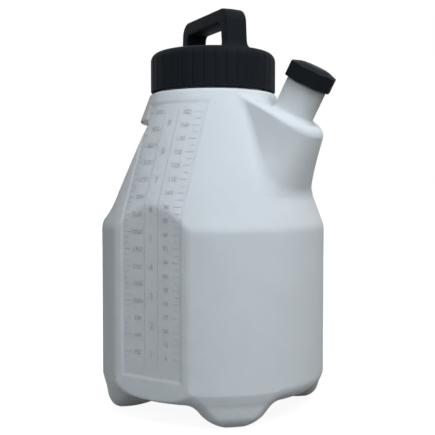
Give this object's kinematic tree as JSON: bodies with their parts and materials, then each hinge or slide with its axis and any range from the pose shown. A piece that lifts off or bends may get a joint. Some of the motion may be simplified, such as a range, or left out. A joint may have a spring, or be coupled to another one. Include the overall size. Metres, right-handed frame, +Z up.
{
  "type": "screw-lid storage container with pouring spout",
  "caption": "Hollow plastic storage bottle with a wide airtight screw lid and carrying handle, a slanted capped pouring spout, a graduated flat side and moulded feet.",
  "frame": {"origin": "on the axis of the drum and the wide neck, in the plane that the feet stand on", "axes": "+Z up along the drum's axis, +X towards the pouring spout, -Y towards the flat side with the graduation strip"},
  "size_m": [0.2402, 0.2028, 0.3814],
  "materials": {
    "natural_polyethylene": "translucent satin",
    "black_plastic": "satin",
    "seal_rubber": "matte",
    "liner_foam": "matte"
  },
  "bodies": {
    "bottle": {"bottle": "natural_polyethylene"},
    "lid_seal": {"lid_gasket": "seal_rubber"},
    "lid": {"lid": "black_plastic"},
    "spout_seal": {"spout_cap_liner": "liner_foam"},
    "spout_cap": {"spout_cap": "black_plastic"}
  },
  "joints": [
    {"name": "lid_rise", "type": "slide", "parent": "bottle", "child": "lid_seal", "axis": [0, 0, 1], "range_m": [0, 0.0361]},
    {"name": "lid_turn", "type": "hinge", "parent": "lid_seal", "child": "lid", "pos_m": [0, 0, 0.34], "axis": [0, 0, 1], "range_deg": [0, 1440]},
    {"name": "spout_rise", "type": "slide", "parent": "bottle", "child": "spout_seal", "axis": [0.4787, 0, 0.878], "range_m": [0, 0.0148]},
    {"name": "spout_turn", "type": "hinge", "parent": "spout_seal", "child": "spout_cap", "pos_m": [0.10367, 0, 0.30801], "axis": [0.4787, 0, 0.878], "range_deg": [0, 1260]}
  ],
  "couplings": [
    {"joint": "lid_rise", "follows": "lid_turn", "m_per_rad": 0.0014324},
    {"joint": "spout_rise", "follows": "spout_turn", "m_per_rad": 0.00066845}
  ]
}
